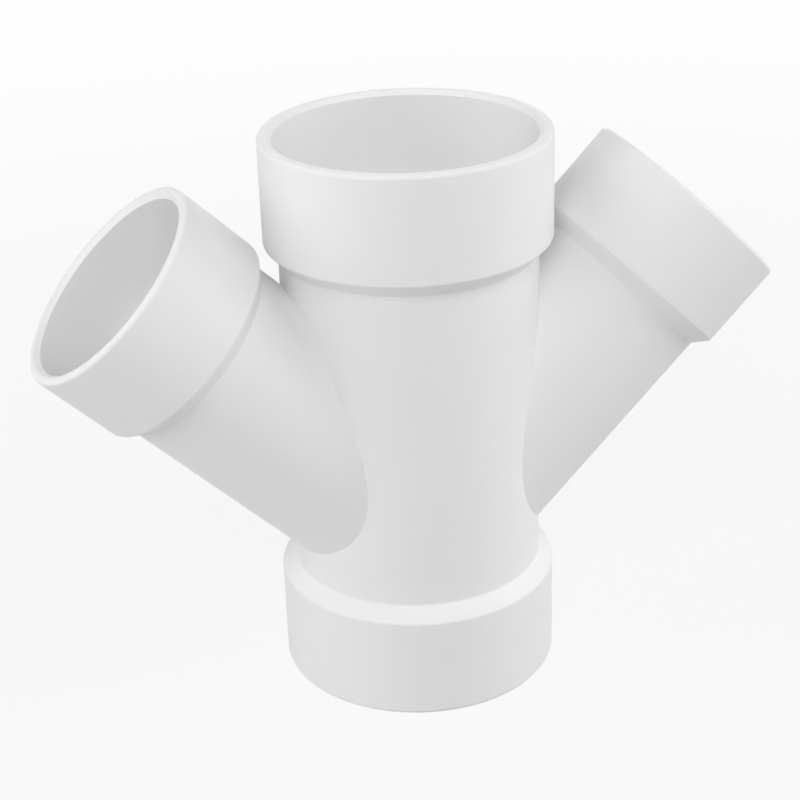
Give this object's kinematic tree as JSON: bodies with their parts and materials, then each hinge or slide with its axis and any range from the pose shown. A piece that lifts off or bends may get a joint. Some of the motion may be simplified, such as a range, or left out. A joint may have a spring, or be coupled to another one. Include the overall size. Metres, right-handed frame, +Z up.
{
  "type": "reducing double wye",
  "caption": "Moulded drain fitting: a straight run with smaller branches leaning out of opposite sides, and a stepped pipe socket in every end.",
  "frame": {"origin": "centre of the lower hub's rim, on the run's axis, where the fitting stands", "axes": "+Z up the run, +X towards the right-hand branch, +Y to the back; both branches lie in the XZ plane"},
  "size_m": [0.3372, 0.127, 0.2555],
  "materials": {
    "white_pvc": "smooth moulded plastic with a soft sheen"
  },
  "bodies": {
    "root": {"wye_body": "white_pvc"}
  },
  "joints": []
}
